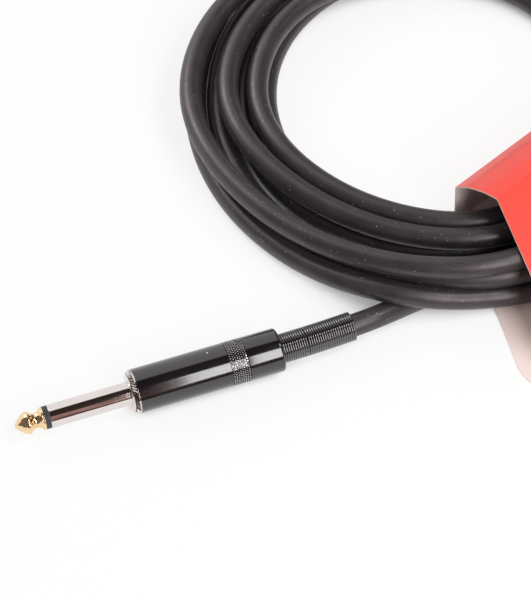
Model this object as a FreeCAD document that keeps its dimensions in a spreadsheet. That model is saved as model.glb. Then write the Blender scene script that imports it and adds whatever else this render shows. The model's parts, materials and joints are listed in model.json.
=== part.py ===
import FreeCAD, Part
import Sketcher
import math
import os

# An instrument cable of three metres, wound up: a straight phone plug on each end of a round
# cord, the cord in a loose coil, and a folded card sleeve round the turns.
# Millimetres. The coil and the plugs lie on the plane of the table at zero height.
# Every plug is drawn along its own X axis, from its nose to the cord.

Vector = FreeCAD.Vector
Rotation = FreeCAD.Rotation
Placement = FreeCAD.Placement

SIZES = {
    # cord
    "cord_diameter": 6.2,
    "core_diameter": 2.4,
    "core_length": 6.0,
    "strand_diameter": 0.9,
    "shield_diameter": 1.4,
    "shield_tail_length": 6.5,
    "cord_sides": 5,
    "wire_sides": 4,
    # contact end of the plug, lengths from the nose
    "nose_radius": 1.1,
    "tip_head_radius": 3.15,
    "tip_head_at": 3.4,
    "tip_waist_radius": 2.15,
    "tip_waist_at": 5.2,
    "tip_flare_radius": 3.05,
    "tip_length": 7.9,
    "rod_radius": 1.25,
    "rod_depth_in_tip": 3.2,
    "ring_width": 1.4,
    "ring_radius": 3.0,
    "bush_radius": 2.2,
    "sleeve_radius": 3.175,
    "sleeve_tail_radius": 2.9,
    "jack_length": 31.0,
    # threaded body behind the contacts
    "collar_front_radius": 5.1,
    "collar_chamfer_length": 1.3,
    "collar_rim_width": 1.0,
    "thread_radius": 5.3,
    "thread_length": 4.0,
    "thread_pitch": 0.75,
    "unscrewing_turns": 5,
    # terminals
    "lug_thickness": 0.8,
    "ground_lug_half_side": 3.9,
    "washer_half_side": 3.0,
    "washer_thickness": 1.0,
    "tip_lug_half_side": 2.5,
    "tip_lug_width": 3.4,
    "tip_lug_height": 1.9,
    "tongue_thickness": 0.6,
    "tip_lug_length": 9.5,
    "rod_overhang": 0.5,
    "ground_strip_width": 4.0,
    "clamp_width": 5.5,
    "clamp_flats": 7,
    "clamp_flat_angle": 40,
    "jacket_inset": 19.7,
    "solder_radius": 1.3,
    "solder_sides": 8,
    "solder_height": 1.1,
    # barrel and what it covers
    "barrel_radius": 6.05,
    "barrel_length": 40.4,
    "barrel_rear_wall": 2.4,
    "barrel_rear_chamfer": 0.6,
    "liner_radius": 5.05,
    "liner_wall": 0.45,
    "liner_length": 22.0,
    "liner_sides": 16,
    # spring round the cord behind the barrel
    "spring_radius": 3.75,
    "spring_wire": 0.6,
    "spring_sides": 3,
    "spring_visible": 21.0,
    "spring_pitch": 3.5,
    "spring_flange_radius": 4.7,
    "spring_flange_length": 0.9,
    # coil, radii from its own centre to the middle of the cord
    "coil_centre_x": 14.8,
    "coil_centre_y": 12.2,
    "coil_start_angle": 300,
    "coil_pitch": 7.0,
    "coil_turn_radius": 45.65,
    "layer_step": 6.65,
    "lower_turns": 2.153,
    "upper_turns": 3.5,
    "outer_drop_radius": 74.2,
    "outer_left_radius": 73.2,
    "outer_near_radius": 76.2,
    "outer_right_radius": 77.6,
    "outer_end_radius": 79.2,
    "crossing_lift": 8.3,
    "end_turn_angle": 60,
    # card sleeve, across from its upright wall
    "card_thickness": 0.4,
    "card_left": 17.6,
    "card_near": -29.9,
    "card_yaw": 42,
    "card_length": 52,
    "card_wall_height": 18.2,
    "card_ridge_across": 12.9,
    "card_ridge_height": 24.2,
    "card_knee_across": 40,
    "card_knee_height": 17.6,
    "card_bend_across": 53,
    "card_bend_height": 8.2,
    "card_lip_across": 63,
    "card_skew": 18.3,
    # where the plugs lie, nose first
    "plug_a_x": -100.2,
    "plug_a_y": -100.5,
    "plug_a_yaw": 19.4,
    "plug_b_x": -98.3,
    "plug_b_y": 96.2,
    "plug_b_yaw": 0,
    # clearances
    "fit": 0.02,
    "running_fit": 0.05,
    "clearance": 0.3,
}

doc = FreeCAD.newDocument("InstrumentCable")
sheet = doc.addObject("Spreadsheet::Sheet", "Sizes")
for row, (alias, number) in enumerate(SIZES.items(), start=1):
    sheet.set(f"A{row}", alias)
    sheet.set(f"B{row}", str(number))
    sheet.setAlias(f"B{row}", alias)
doc.recompute()


class Size:
    # A length that knows its number and the sheet expression that gives it.

    def __init__(self, value, text):
        self.value = value
        self.text = text

    def __add__(self, other):
        other = as_size(other)
        return Size(self.value + other.value, f"({self.text} + {other.text})")

    def __sub__(self, other):
        other = as_size(other)
        return Size(self.value - other.value, f"({self.text} - {other.text})")

    def __mul__(self, factor):
        return Size(self.value * factor, f"({self.text} * {factor})")

    def __truediv__(self, factor):
        return Size(self.value / factor, f"({self.text} / {factor})")

    def __neg__(self):
        return Size(-self.value, f"(0 - {self.text})")


def as_size(thing):
    return thing if isinstance(thing, Size) else Size(float(thing), str(float(thing)))


def cell(alias):
    return Size(float(sheet.get(alias)), f"Sizes.{alias}")


def number(alias):
    return cell(alias).value


# Lengths along the plug that several pieces share.
ring_end = cell("tip_length") + cell("ring_width")
collar_edge = cell("jack_length") + cell("collar_chamfer_length")
barrel_front = collar_edge + cell("collar_rim_width")
body_rear = barrel_front + cell("thread_length")
ground_lug_rear = body_rear + cell("lug_thickness")
washer_rear = ground_lug_rear + cell("washer_thickness")
tip_lug_rear = washer_rear + cell("lug_thickness")
rod_rear = tip_lug_rear + cell("rod_overhang")
barrel_rear = barrel_front + cell("barrel_length")
rear_wall_front = barrel_rear - cell("barrel_rear_wall")
spring_rear = barrel_rear + cell("spring_visible")
thread_travel = Size(number("thread_pitch") * number("unscrewing_turns"),
                     "(Sizes.thread_pitch * Sizes.unscrewing_turns)")
cord_radius = cell("cord_diameter") / 2
cord_exit = spring_rear + thread_travel + cell("clearance")
clamp_outer_radius = cord_radius + cell("fit") + cell("lug_thickness")
jacket_start = body_rear + cell("jacket_inset")
clamp_start = jacket_start + cell("clearance")
strip_top = cell("lug_thickness") - clamp_outer_radius
liner_front = body_rear + cell("clearance")
tongue_top = cell("tip_lug_height") + cell("tongue_thickness")
tip_solder_at = washer_rear + cell("tip_lug_length") - cell("tip_lug_width") / 2
ground_solder_at = jacket_start - cell("shield_tail_length")


def new_body(label):
    body = doc.addObject("PartDesign::Body", label)
    body.Label = label
    return body


def new_sketch(body, name, role, offset=None):
    sketch = body.newObject("Sketcher::SketchObject", name)
    plane = next(f for f in body.Origin.OriginFeatures if f.Role == role)
    sketch.AttachmentSupport = [(plane, "")]
    sketch.MapMode = "FlatFace"
    if offset is not None:
        sketch.setExpression("AttachmentOffset.Base.z", offset.text)
    return sketch


def hold(sketch, geometry, vertex, across, size, name):
    # Ties one coordinate of a sketch point to the sheet, from the sketch's own axes.
    kind = "DistanceY" if across else "DistanceX"
    size = as_size(size)
    if abs(size.value) < 1e-9:
        axis = -1 if across else -2
        sketch.addConstraint(Sketcher.Constraint("PointOnObject", geometry, vertex, axis))
        return
    if size.value > 0:
        constraint = Sketcher.Constraint(kind, -1, 1, geometry, vertex, size.value)
    else:
        size = -size
        constraint = Sketcher.Constraint(kind, geometry, vertex, -1, 1, size.value)
    index = sketch.addConstraint(constraint)
    sketch.renameConstraint(index, name)
    sketch.setExpression(f"Constraints.{name}", size.text)


def draw_outline(sketch, points, tag):
    # A closed outline of straight sides, each corner held in both directions.
    first = sketch.GeometryCount
    count = len(points)
    spots = [Vector(as_size(x).value, as_size(y).value, 0) for x, y in points]
    for i in range(count):
        sketch.addGeometry(Part.LineSegment(spots[i], spots[(i + 1) % count]))
    for i in range(count):
        here, following = first + i, first + (i + 1) % count
        sketch.addConstraint(Sketcher.Constraint("Coincident", here, 2, following, 1))
    for i, (x, y) in enumerate(points):
        hold(sketch, first + i, 1, False, x, f"{tag}_along_{i}")
        hold(sketch, first + i, 1, True, y, f"{tag}_across_{i}")


def draw_circle(sketch, x, y, radius, tag):
    geometry = sketch.addGeometry(
        Part.Circle(Vector(as_size(x).value, as_size(y).value, 0), Vector(0, 0, 1), radius.value))
    hold(sketch, geometry, 3, False, x, f"{tag}_along")
    hold(sketch, geometry, 3, True, y, f"{tag}_across")
    index = sketch.addConstraint(Sketcher.Constraint("Radius", geometry, radius.value))
    sketch.renameConstraint(index, f"{tag}_radius")
    sketch.setExpression(f"Constraints.{tag}_radius", radius.text)


def turned(label, points):
    # A turned piece: half its section, spun round the plug's axis.
    body = new_body(label)
    sketch = new_sketch(body, f"{label}_section", "XZ_Plane")
    draw_outline(sketch, points, "section")
    turn = body.newObject("PartDesign::Revolution", f"{label}_turn")
    turn.Profile = sketch
    turn.ReferenceAxis = (sketch, ["H_Axis"])
    turn.Angle = 360
    body.Tip = turn
    sketch.Visibility = False
    doc.recompute()
    return body


def pad(body, name, role, offset, length, outline, circles=(), middle=False):
    sketch = new_sketch(body, f"{name}_sketch", role, offset)
    if outline:
        draw_outline(sketch, outline, "side")
    for i, (x, y, radius) in enumerate(circles):
        draw_circle(sketch, x, y, radius, f"hole_{i}")
    feature = body.newObject("PartDesign::Pad", name)
    feature.Profile = sketch
    feature.setExpression("Length", length.text)
    feature.Midplane = middle
    body.Tip = feature
    doc.recompute()
    return feature


def pocket(body, name, role, outline):
    # Cuts an outline right through the piece, both ways from the plane it is drawn on.
    sketch = new_sketch(body, f"{name}_sketch", role)
    draw_outline(sketch, outline, "cut")
    before = body.Shape.Volume
    feature = body.newObject("PartDesign::Pocket", name)
    feature.Profile = sketch
    feature.Type = "ThroughAll"
    feature.Midplane = True
    body.Tip = feature
    doc.recompute()
    if body.Shape.Volume >= before:
        raise RuntimeError(f"{name} cut nothing")
    return feature


def on_circle(radius, angle):
    # A point of a sketch on a circle round its origin, at an angle in degrees.
    turn = math.radians(angle)
    return radius * round(math.cos(turn), 6), radius * round(math.sin(turn), 6)


def box_outline(low, high, left, right):
    return [(low, left), (high, left), (high, right), (low, right)]


def bent_path(points):
    # Straight runs joined by tangent arcs, each arc as large as its two runs allow.
    edges, radii, last = [], [], points[0]
    for before, corner, after in zip(points, points[1:], points[2:]):
        to_corner, onward = corner - before, after - corner
        half = to_corner.getAngle(onward) / 2
        reach = 0.45 * min(to_corner.Length, onward.Length)
        to_corner.normalize()
        onward.normalize()
        radius = reach / math.tan(half)
        enter, leave = corner - to_corner * reach, corner + onward * reach
        inward = (onward - to_corner).normalize()
        middle = corner + inward * (radius / math.cos(half) - radius)
        edges.append(Part.LineSegment(last, enter).toShape())
        edges.append(Part.Arc(enter, middle, leave).toShape())
        radii.append(round(radius, 1))
        last = leave
    edges.append(Part.LineSegment(last, points[-1]).toShape())
    return Part.Wire(edges), radii


def biarc(start, leaving, finish, arriving):
    # Two arcs that join in a common direction, from one point and direction to another.
    chord = finish - start
    total = leaving + arriving
    spread = 2 - 2 * leaving.dot(arriving)
    slope = 2 * chord.dot(total)
    reach = (math.sqrt(slope * slope + 4 * spread * chord.dot(chord)) - slope) / (2 * spread)
    near, far = start + leaving * reach, finish - arriving * reach
    joint = (near + far) * 0.5
    return [arc_from(start, leaving, joint), arc_from(joint, (far - near).normalize(), finish)]


def arc_from(start, direction, finish):
    chord = finish - start
    half = direction.getAngle(chord)
    if half < 1e-6:
        return Part.LineSegment(start, finish).toShape()
    across = direction.cross(chord).cross(direction).normalize()
    radius = chord.Length / (2 * math.sin(half))
    centre = start + across * radius
    middle = centre + ((start - centre) + (finish - centre)).normalize() * radius
    return Part.Arc(start, middle, finish).toShape()


def tube(path, start, direction, radius, sides, up=Vector(0, 0, 1)):
    # A solid of a regular section, flat side down, along a path.
    side = direction.cross(up).normalize()
    over = side.cross(direction).normalize()
    corners = []
    for i in range(sides):
        angle = math.pi * (2 * i + 1) / sides - math.pi / 2
        corners.append(start + side * (radius * math.cos(angle)) + over * (radius * math.sin(angle)))
    section = Part.makePolygon(corners + [corners[0]])
    return path.makePipeShell([section], True, False)


def least_gap(path, diameter):
    # The least distance between two stretches of one tube that aren't neighbours along it.
    spots = path.discretize(Distance=diameter / 2)
    step = path.Length / (len(spots) - 1)
    apart = int(3 * diameter / step)
    least = min(spots[i].distanceToPoint(spots[j])
                for i in range(len(spots)) for j in range(i + apart, len(spots)))
    return least - diameter


def add_shape(label, shape):
    feature = doc.addObject("Part::Feature", label)
    feature.Label = label
    feature.Shape = shape
    return feature


def make_tip(label):
    bore_end = cell("tip_length") - cell("rod_depth_in_tip")
    bore = cell("rod_radius") + cell("fit")
    return turned(label, [
        (0, 0), (0, cell("nose_radius")), (cell("tip_head_at"), cell("tip_head_radius")),
        (cell("tip_waist_at"), cell("tip_waist_radius")), (cell("tip_length"), cell("tip_flare_radius")),
        (cell("tip_length"), bore), (bore_end, bore), (bore_end, 0)])


def make_rod(label):
    start = cell("tip_length") - cell("rod_depth_in_tip") + cell("fit")
    return turned(label, [
        (start, 0), (start, cell("rod_radius")), (rod_rear, cell("rod_radius")), (rod_rear, 0)])


def make_tip_insulator(label):
    # The dark ring behind the tip, in one with the bush that lines the sleeve.
    return turned(label, [
        (cell("tip_length"), cell("rod_radius") + cell("fit")), (cell("tip_length"), cell("ring_radius")),
        (ring_end, cell("ring_radius")), (ring_end, cell("bush_radius")),
        (ground_lug_rear, cell("bush_radius")), (ground_lug_rear, cell("rod_radius") + cell("fit"))])


def make_sleeve(label):
    return turned(label, [
        (ring_end, cell("bush_radius") + cell("fit")), (ring_end, cell("sleeve_radius")),
        (cell("jack_length"), cell("sleeve_radius")), (cell("jack_length"), cell("sleeve_tail_radius")),
        (body_rear, cell("sleeve_tail_radius")), (body_rear, cell("bush_radius") + cell("fit"))])


def make_threaded_body(label):
    # It is pressed on the sleeve's thinner tail, and leaves the sleeve's step bare.
    bore, front = cell("sleeve_tail_radius") + cell("fit"), cell("jack_length") + cell("running_fit")
    return turned(label, [
        (front, bore), (front, cell("collar_front_radius")),
        (collar_edge, cell("barrel_radius")), (barrel_front - cell("running_fit"), cell("barrel_radius")),
        (barrel_front - cell("running_fit"), cell("thread_radius")), (body_rear, cell("thread_radius")),
        (body_rear, bore)])


def cut_corners(half, corner):
    # A square plate with its corners cut off.
    low, near = -half, -(half - corner)
    high, far = half, half - corner
    return [(near, low), (far, low), (high, near), (high, far),
            (far, high), (near, high), (low, far), (low, near)]


def make_ground_lug(label):
    # The ground terminal: an eye behind the threaded body, a strip, and ears bent round the jacket.
    body = new_body(label)
    eye = cell("bush_radius") + cell("fit")
    half = cell("ground_lug_half_side")
    pad(body, f"{label}_eye", "YZ_Plane", body_rear, cell("lug_thickness"),
        cut_corners(half, half / 2), [(0, 0, eye)])
    clamp_end = clamp_start + cell("clamp_width")
    pad(body, f"{label}_strip", "XZ_Plane", None, cell("ground_strip_width"),
        box_outline(body_rear, clamp_end, -clamp_outer_radius, strip_top), middle=True)
    flats, turn = int(number("clamp_flats")), number("clamp_flat_angle")
    angles = [270 + turn * (i - flats / 2) for i in range(flats + 1)]
    corner = 1 / math.cos(math.radians(turn / 2))
    outer, inner = clamp_outer_radius * corner, (cord_radius + cell("fit")) * corner
    ears = [on_circle(outer, angle) for angle in angles]
    ears += [on_circle(inner, angle) for angle in reversed(angles)]
    pad(body, f"{label}_ears", "YZ_Plane", clamp_start, cell("clamp_width"), ears)
    return body


def make_rear_washer(label):
    body = new_body(label)
    half = cell("washer_half_side")
    pad(body, f"{label}_plate", "YZ_Plane", ground_lug_rear, cell("washer_thickness"),
        cut_corners(half, half / 2), [(0, 0, cell("rod_radius") + cell("fit"))])
    return body


def make_tip_lug(label):
    # The tip terminal: a plate that the rod passes through, and a pointed tongue to solder to.
    body = new_body(label)
    plate_half = cell("tip_lug_half_side")
    pad(body, f"{label}_plate", "YZ_Plane", washer_rear, cell("lug_thickness"),
        cut_corners(plate_half, plate_half / 2), [(0, 0, cell("rod_radius") + cell("fit"))])
    half = cell("tip_lug_width") / 2
    end = washer_rear + cell("tip_lug_length")
    pad(body, f"{label}_tongue", "XY_Plane", cell("tip_lug_height"), cell("tongue_thickness"),
        [(washer_rear, -half), (end - half, -half), (end, 0), (end - half, half), (washer_rear, half)])
    return body


def make_liner(label):
    body = new_body(label)
    sides = int(number("liner_sides"))
    angles = [360 / sides * i for i in range(sides)]
    sketch = new_sketch(body, f"{label}_section", "YZ_Plane", liner_front)
    for tag, radius in (("outer", cell("liner_radius")), ("inner", cell("liner_radius") - cell("liner_wall"))):
        draw_outline(sketch, [on_circle(radius, angle) for angle in angles], tag)
    feature = body.newObject("PartDesign::Pad", f"{label}_wall")
    feature.Profile = sketch
    feature.setExpression("Length", cell("liner_length").text)
    body.Tip = feature
    doc.recompute()
    return body


def make_barrel(label):
    # Bored from the front for the thread and the terminals, and through the rear for the spring.
    bore = cell("thread_radius") + cell("running_fit")
    hole = cell("spring_radius") + cell("spring_wire") / 2 + cell("clearance")
    edge = cell("barrel_rear_chamfer")
    return turned(label, [
        (barrel_front, bore), (barrel_front, cell("barrel_radius")),
        (barrel_rear - edge, cell("barrel_radius")), (barrel_rear, cell("barrel_radius") - edge),
        (barrel_rear, hole), (rear_wall_front, hole), (rear_wall_front, bore)])


def make_spring(label):
    # One wire: a wider half turn caught before the barrel's rear wall, then turns round the cord.
    wire, radius = number("spring_wire"), number("spring_radius")
    start = rear_wall_front.value - number("clearance") - number("spring_flange_length")
    turns_start = rear_wall_front.value - number("clearance")
    finish = spring_rear.value - wire / 2
    half_turns = round((finish - turns_start) / number("spring_pitch") * 2)
    advance = (finish - turns_start) / half_turns
    stations = []
    for i in range(half_turns + 2):
        angle = math.pi * i
        reach = radius if i else number("spring_flange_radius")
        along = turns_start + advance * (i - 1) if i else start
        slope = advance if i else number("spring_flange_length")
        spot = Vector(along, reach * math.cos(angle), reach * math.sin(angle))
        direction = Vector(slope / (math.pi * reach), -math.sin(angle), math.cos(angle))
        stations.append((spot, direction.normalize()))
    edges = []
    for (spot, direction), (following, onward) in zip(stations, stations[1:]):
        edges += biarc(spot, direction, following, onward)
    path = Part.Wire(edges)
    shape = tube(path, *stations[0], wire / 2, int(number("spring_sides")), Vector(1, 0, 0))
    print(label, "least gap", round(least_gap(path, wire), 2), "half turns", half_turns + 1)
    return add_shape(label, shape)


def make_jacket_end(label):
    path = Part.Wire([Part.LineSegment(Vector(jacket_start.value, 0, 0),
                                       Vector(cord_exit.value, 0, 0)).toShape()])
    start = Vector(jacket_start.value, 0, 0)
    return add_shape(label, tube(path, start, Vector(1, 0, 0), cord_radius.value,
                                 int(number("cord_sides"))))


def wire_piece(label, points, diameter):
    # A wire inside the plug, straight, or with tangent bends where it has more than two points.
    if len(points) > 2:
        path, _ = bent_path(points)
    else:
        path = Part.Wire([Part.LineSegment(*points).toShape()])
    direction = (points[1] - points[0]).normalize()
    return add_shape(label, tube(path, points[0], direction, diameter / 2, int(number("wire_sides"))))


def beside_solder(along):
    # Where a wire ends, clear of the side of the blob that holds it.
    flat = number("solder_radius") * math.cos(math.pi / number("solder_sides"))
    return along.value + flat + number("clearance")


def strand_ends():
    # The bare copper runs from the end of the core's insulation down into the solder.
    bared = jacket_start.value - number("core_length")
    top = Vector(bared, 0, tongue_top.value)
    foot = Vector(beside_solder(tip_solder_at), 0, tongue_top.value + number("solder_height") / 2)
    return top, foot


def make_core(label):
    # The insulated inner conductor, from the end of the jacket up to the tip terminal.
    top, _ = strand_ends()
    start, lead = jacket_start.value, number("core_diameter")
    return wire_piece(label, [Vector(start, 0, 0), Vector(start - lead, 0, 0),
                              top + Vector(lead / 2, 0, 0), top], number("core_diameter"))


def make_strand(label):
    top, foot = strand_ends()
    return wire_piece(label, [top - Vector(number("clearance"), 0, 0), foot], number("strand_diameter"))


def make_shield(label):
    # The twisted shield, from the end of the jacket down to the strip of the ground terminal.
    start = Vector(jacket_start.value - number("clearance"), 0,
                   number("shield_diameter") - cord_radius.value)
    foot = Vector(beside_solder(ground_solder_at), 0, strip_top.value + number("shield_diameter") / 2)
    return wire_piece(label, [start, foot], number("shield_diameter"))


def make_solder(label, side, along, height):
    # A blob of solder on a terminal of the plug on one side.
    blob = doc.addObject("Part::Prism", label)
    blob.Label = label
    blob.Polygon = int(number("solder_sides"))
    blob.setExpression("Circumradius", cell("solder_radius").text)
    blob.setExpression("Height", cell("solder_height").text)
    blob.Placement = plug_place(side)
    blob.setExpression("Placement.Rotation.Angle", f"Sizes.plug_{side}_yaw + 180 / Sizes.solder_sides")
    yaw = f"Sizes.plug_{side}_yaw * 1 deg"
    blob.setExpression("Placement.Base.x", f"Sizes.plug_{side}_x + {along.text} * cos({yaw})")
    blob.setExpression("Placement.Base.y", f"Sizes.plug_{side}_y + {along.text} * sin({yaw})")
    blob.setExpression("Placement.Base.z", f"Sizes.barrel_radius + {height.text}")
    doc.recompute()
    return blob


PLUG_PIECES = {
    "tip_contact": make_tip,
    "centre_rod": make_rod,
    "tip_insulator": make_tip_insulator,
    "sleeve_contact": make_sleeve,
    "threaded_body": make_threaded_body,
    "ground_lug": make_ground_lug,
    "rear_washer": make_rear_washer,
    "tip_lug": make_tip_lug,
    "insulating_liner": make_liner,
    "barrel": make_barrel,
    "relief_spring": make_spring,
    "jacket_end": make_jacket_end,
    "inner_conductor": make_core,
    "conductor_strands": make_strand,
    "shield_tail": make_shield,
}


def plug_place(side):
    turn = Rotation(Vector(0, 0, 1), number(f"plug_{side}_yaw"))
    return Placement(Vector(number(f"plug_{side}_x"), number(f"plug_{side}_y"),
                            number("barrel_radius")), turn)


def lay_down(piece, side):
    # Puts a piece that was drawn along X where its plug lies, on the barrel's side.
    piece.Placement = plug_place(side)
    if piece.TypeId == "PartDesign::Body":
        piece.setExpression("Placement.Base.x", f"Sizes.plug_{side}_x")
        piece.setExpression("Placement.Base.y", f"Sizes.plug_{side}_y")
        piece.setExpression("Placement.Base.z", "Sizes.barrel_radius")
        piece.setExpression("Placement.Rotation.Angle", f"Sizes.plug_{side}_yaw")


def make_plug(side):
    pieces = [make(f"{name}_{side}") for name, make in PLUG_PIECES.items()]
    for piece in pieces:
        lay_down(piece, side)
    pieces.append(make_solder(f"tip_solder_{side}", side, tip_solder_at, tongue_top))
    pieces.append(make_solder(f"ground_solder_{side}", side, ground_solder_at, strip_top))
    return pieces


def coil_legs():
    # Each leg of the winding: its turns, the radius and height it ends at, and its number of spans.
    # A steady leg is a spiral on one layer; an eased one leaves and arrives level and square.
    low = number("card_thickness") + number("clearance") + cord_radius.value
    high = low + number("layer_step")
    inner, pitch = number("coil_turn_radius"), number("coil_pitch")
    widest = inner + pitch * number("upper_turns")
    start = (inner + pitch * number("lower_turns"), low)
    legs = [
        ("steady", number("lower_turns"), inner, low),
        ("eased", 0.25, inner - pitch / 4, (low + high) / 2),
        ("eased", 0.25, inner, high),
        ("steady", number("upper_turns"), widest, high),
        ("eased", 0.25, number("outer_drop_radius"), (low + high) / 2),
        ("eased", 0.25, number("outer_left_radius"), low),
        ("eased", 0.25, number("outer_near_radius"), low + number("crossing_lift")),
        ("eased", 0.25, number("outer_right_radius"), low),
        ("eased", number("end_turn_angle") / 360, number("outer_end_radius"), low),
    ]
    return start, legs


def coil_stations():
    # The points and directions that the arcs of the coil run between, round the coil's centre.
    (radius, height), legs = coil_legs()
    angle = math.radians(number("coil_start_angle"))
    centre = Vector(number("coil_centre_x"), number("coil_centre_y"), 0)
    slope = -number("coil_pitch") / (2 * math.pi)
    stations = []

    def add(at, reach, up, out, rise):
        # out and rise are the changes of radius and height for each radian turned
        outward, onward = Vector(math.cos(at), math.sin(at), 0), Vector(-math.sin(at), math.cos(at), 0)
        along = outward * out + onward * reach + Vector(0, 0, rise)
        stations.append((centre + outward * reach + Vector(0, 0, up), along.normalize()))

    add(angle, radius, height, slope, 0)
    for i, (kind, turns, end_radius, end_height) in enumerate(legs):
        sweep = 2 * math.pi * turns
        steady = kind == "steady"
        spans = max(1, round(turns * 2)) if steady else 1
        slope = (end_radius - radius) / sweep
        crossing_level = not steady and i + 1 < len(legs) and legs[i + 1][0] == "eased"
        between_layers = crossing_level and (end_height - height) * (legs[i + 1][3] - end_height) > 0
        for span in range(1, spans + 1):
            share = span / spans
            rise = (end_height - height) / sweep * 1.2 if between_layers else 0
            out = slope if steady else 0
            add(angle + sweep * share, radius + (end_radius - radius) * share,
                end_height if not steady else height, out, rise)
        angle, radius, height = angle + sweep, end_radius, end_height
    return stations


def make_coil(label):
    # The wound turns as one tube, with a straight stretch of one diameter at each end.
    stations = coil_stations()
    lead = number("cord_diameter")
    start = stations[0][0] - stations[0][1] * lead
    finish = stations[-1][0] + stations[-1][1] * lead
    edges = [Part.LineSegment(start, stations[0][0]).toShape()]
    for (spot, along), (following, onward) in zip(stations, stations[1:]):
        edges += biarc(spot, along, following, onward)
    edges.append(Part.LineSegment(stations[-1][0], finish).toShape())
    path = Part.Wire(edges)
    shape = tube(path, start, stations[0][1], cord_radius.value, int(number("cord_sides")))
    print(label, "length", round(path.Length, 1), "least gap",
          round(least_gap(path, number("cord_diameter")), 2))
    return add_shape(label, shape), (start, stations[0][1]), (finish, stations[-1][1])


def free_cord(label, points):
    path, radii = bent_path(points)
    direction = (points[1] - points[0]).normalize()
    sides = int(number("cord_sides"))
    shape = tube(path, points[0], direction, cord_radius.value, sides)
    section = sides / 2 * cord_radius.value ** 2 * math.sin(2 * math.pi / sides)
    print(label, "length", round(path.Length, 1), "radii", radii,
          "volume over section times length", round(shape.Volume / (section * path.Length), 4))
    return add_shape(label, shape)


def plug_exit(side, further=0):
    return plug_place(side).multVec(Vector(cord_exit.value + further, 0, 0))


def coil_spot(x, y, z):
    # A point of the route, from the centre of the coil.
    return Vector(number("coil_centre_x") + x, number("coil_centre_y") + y, z)


def make_cord():
    coil, (start, leaving), (finish, arriving) = make_coil("cord_coil")
    # From plug a the cord runs on, sinks to the table and slips under the outermost turn.
    near_run = [plug_exit("a"), plug_exit("a", 7), coil_spot(-4.5, -72.2, start.z + 0.4),
                start - leaving * 14, start]
    # From the outermost turn the cord bends away to plug b.
    far_run = [finish, finish + arriving * 14, coil_spot(12.5, 81.6, finish.z + 0.6),
               plug_exit("b", 11.0), plug_exit("b")]
    return [coil, free_cord("cord_run_a", near_run), free_cord("cord_run_b", far_run)]


def make_card(label):
    # A sheet folded round the turns: an upright wall inside the coil, a roof that rises to a ridge,
    # a flap that comes down over the turns, and a base under them. Across runs away from the wall.
    sheet_wall = cell("card_thickness")
    across = {name: cell(f"card_{name}_across") for name in ("ridge", "knee", "bend", "lip")}
    outer = [(0, 0), (0, cell("card_wall_height")), (-across["ridge"], cell("card_ridge_height")),
             (-across["knee"], cell("card_knee_height")), (-across["bend"], cell("card_bend_height")),
             (-across["lip"], sheet_wall * 2), (-(across["lip"] + sheet_wall * 8), sheet_wall * 2),
             (-(across["lip"] + sheet_wall * 8), 0)]
    inner = [(-sheet_wall, sheet_wall), (-sheet_wall, cell("card_wall_height") - sheet_wall * 0.8),
             (-across["ridge"], cell("card_ridge_height") - sheet_wall * 1.1),
             (-(across["knee"] - sheet_wall * 0.4), cell("card_knee_height") - sheet_wall * 1.1),
             (-(across["bend"] - sheet_wall * 0.8), cell("card_bend_height") - sheet_wall),
             (-(across["lip"] - sheet_wall * 0.8), sheet_wall)]
    body = new_body(label)
    sketch = new_sketch(body, f"{label}_section", "YZ_Plane", -cell("card_skew"))
    draw_outline(sketch, outer, "outer")
    draw_outline(sketch, inner, "inner")
    feature = body.newObject("PartDesign::Pad", f"{label}_fold")
    feature.Profile = sketch
    feature.setExpression("Length", (cell("card_length") + cell("card_skew")).text)
    body.Tip = feature
    doc.recompute()
    # The near end is cut square over the roof, and on the slant over the flap and the base.
    beyond = cell("card_skew") + 5
    outside = across["lip"] + sheet_wall * 8
    pocket(body, f"{label}_near_end", "XY_Plane", [
        (-beyond, 5), (0, 5), (0, -across["ridge"]), (-cell("card_skew"), -outside),
        (-beyond, -outside)])
    body.Placement = Placement(Vector(number("card_left"), number("card_near"), 0),
                               Rotation(Vector(0, 0, 1), number("card_yaw")))
    body.setExpression("Placement.Base.x", "Sizes.card_left")
    body.setExpression("Placement.Base.y", "Sizes.card_near")
    body.setExpression("Placement.Rotation.Angle", "Sizes.card_yaw")
    return body


def check(pieces):
    for item in doc.Objects:
        if "Invalid" in item.State or "Error" in item.State:
            raise RuntimeError(f"{item.Label} didn't recompute: {item.State}")
    for piece in pieces:
        if piece.Shape.isNull() or not piece.Shape.isValid():
            raise RuntimeError(f"{piece.Label} has no valid shape")


def export(pieces):
    os.makedirs("parts", exist_ok=True)
    for piece in pieces:
        piece.Shape.exportStep(f"parts/{piece.Label}.step")
    print(len(pieces), "pieces written")


nodes = make_plug("a") + make_plug("b") + make_cord() + [make_card("card_sleeve")]
doc.recompute()
check(nodes)
export(nodes)
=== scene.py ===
import json
import math
from functools import partial

import bmesh
import bpy
from mathutils import Matrix, Vector


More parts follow.
